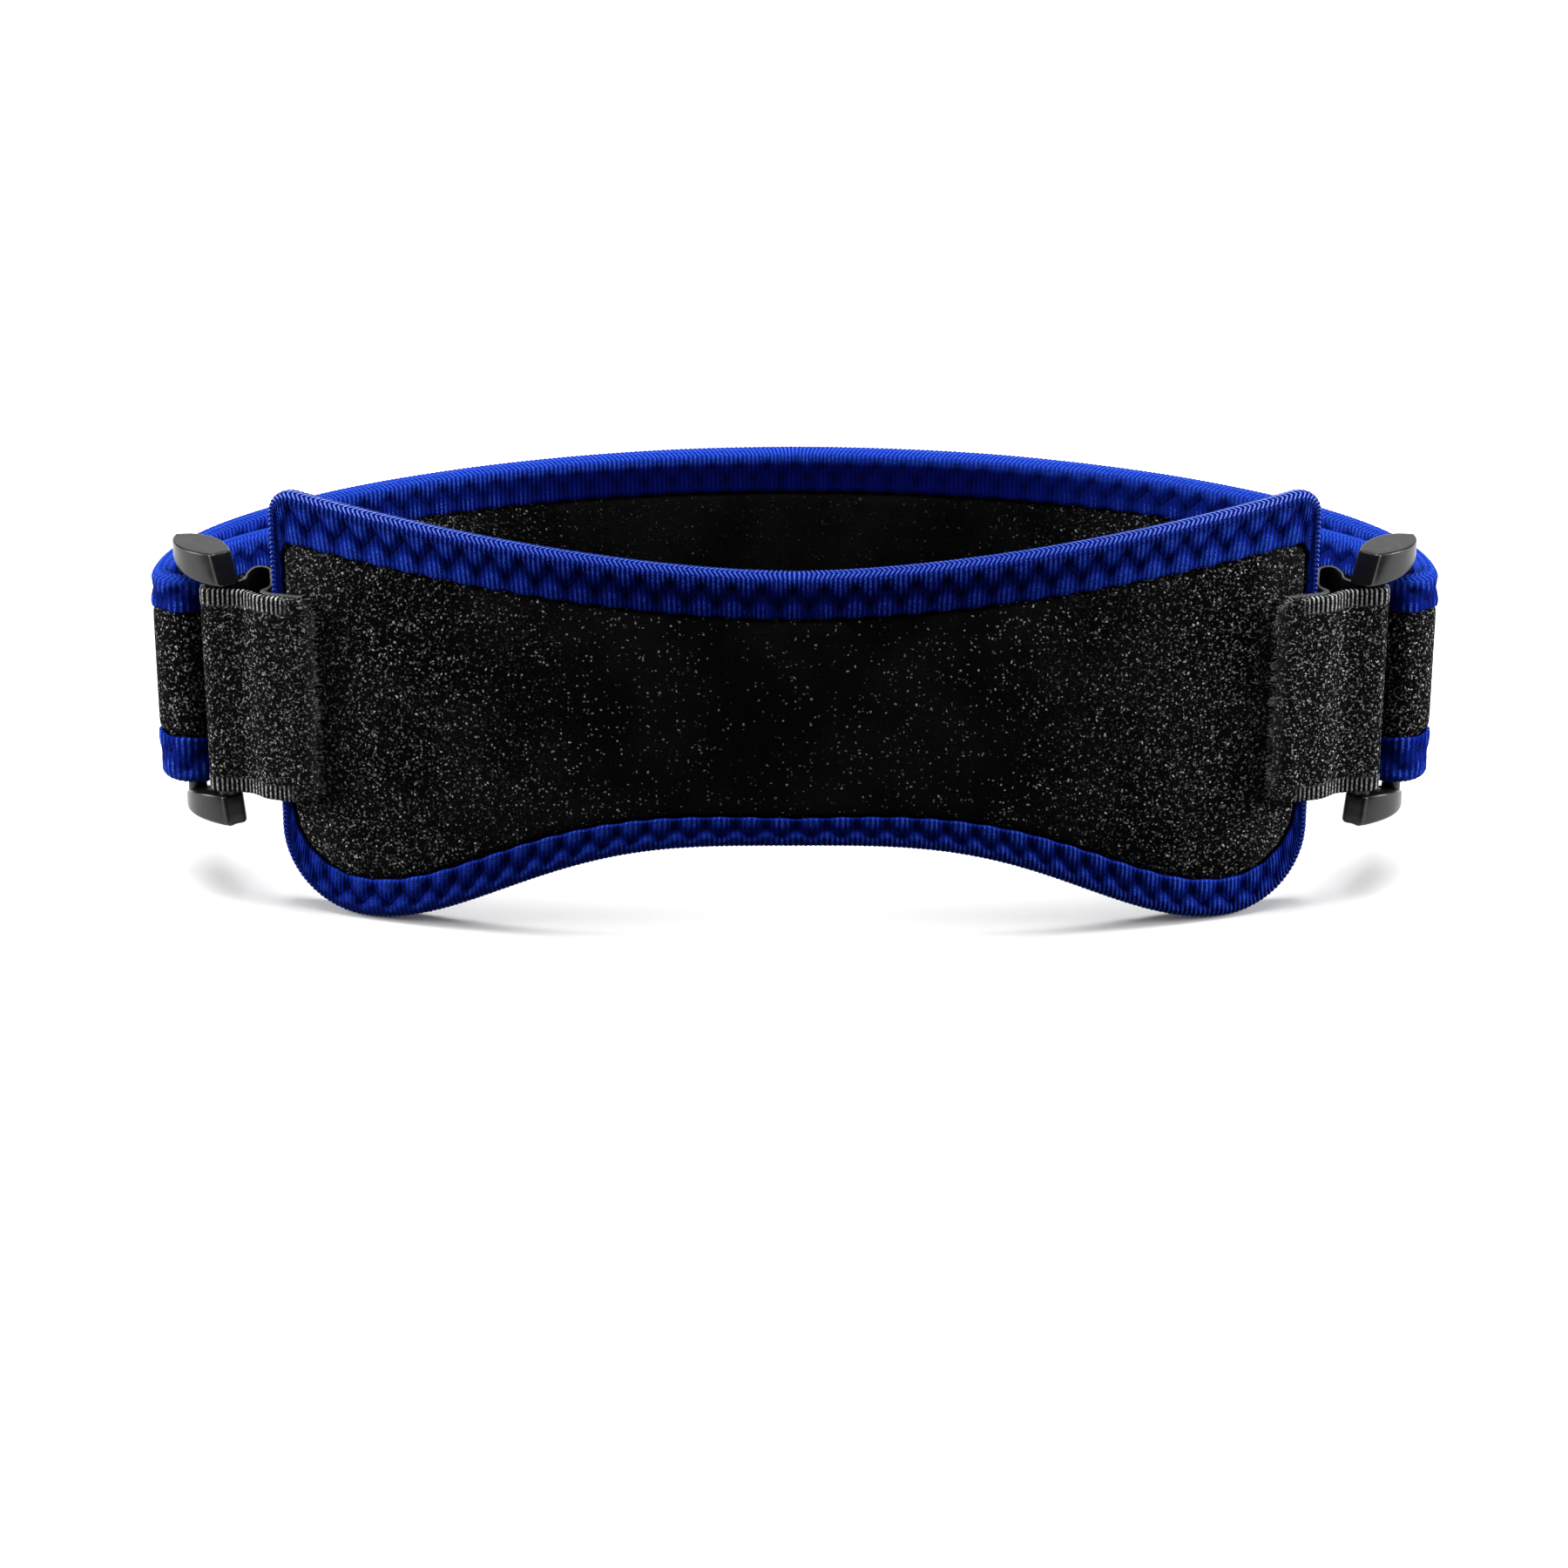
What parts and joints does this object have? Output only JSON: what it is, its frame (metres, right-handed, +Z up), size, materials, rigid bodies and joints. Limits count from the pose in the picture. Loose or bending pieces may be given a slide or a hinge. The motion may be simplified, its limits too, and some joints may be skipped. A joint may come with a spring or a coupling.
{
  "type": "patella strap",
  "caption": "Padded knee strap as an upright loop: bow-tie front pad, narrower rear pad, bound edges, webbing straps and ring buckles at the sides.",
  "frame": {"origin": "middle of the bottom of the bounding box, on the surface that the strap stands on", "axes": "+X to the right as seen from the front pad, +Y from the front pad to the rear pad, +Z up"},
  "size_m": [0.2282, 0.0894, 0.0759],
  "materials": {
    "pad_fabric": "black brushed loop fabric over foam",
    "binding_tape": "ribbed blue elastic tape with zigzag stitching",
    "webbing": "dark brushed elastic webbing with ribbed edges",
    "buckle_plastic": "dark grey satin-gloss moulded plastic"
  },
  "bodies": {
    "root": {"front_pad": "pad_fabric", "rear_pad": "pad_fabric", "front_binding": "binding_tape", "rear_binding_upper": "binding_tape", "rear_binding_lower": "binding_tape", "strap_left": "webbing", "strap_right": "webbing", "buckle_left": "buckle_plastic", "buckle_right": "buckle_plastic"}
  },
  "joints": []
}
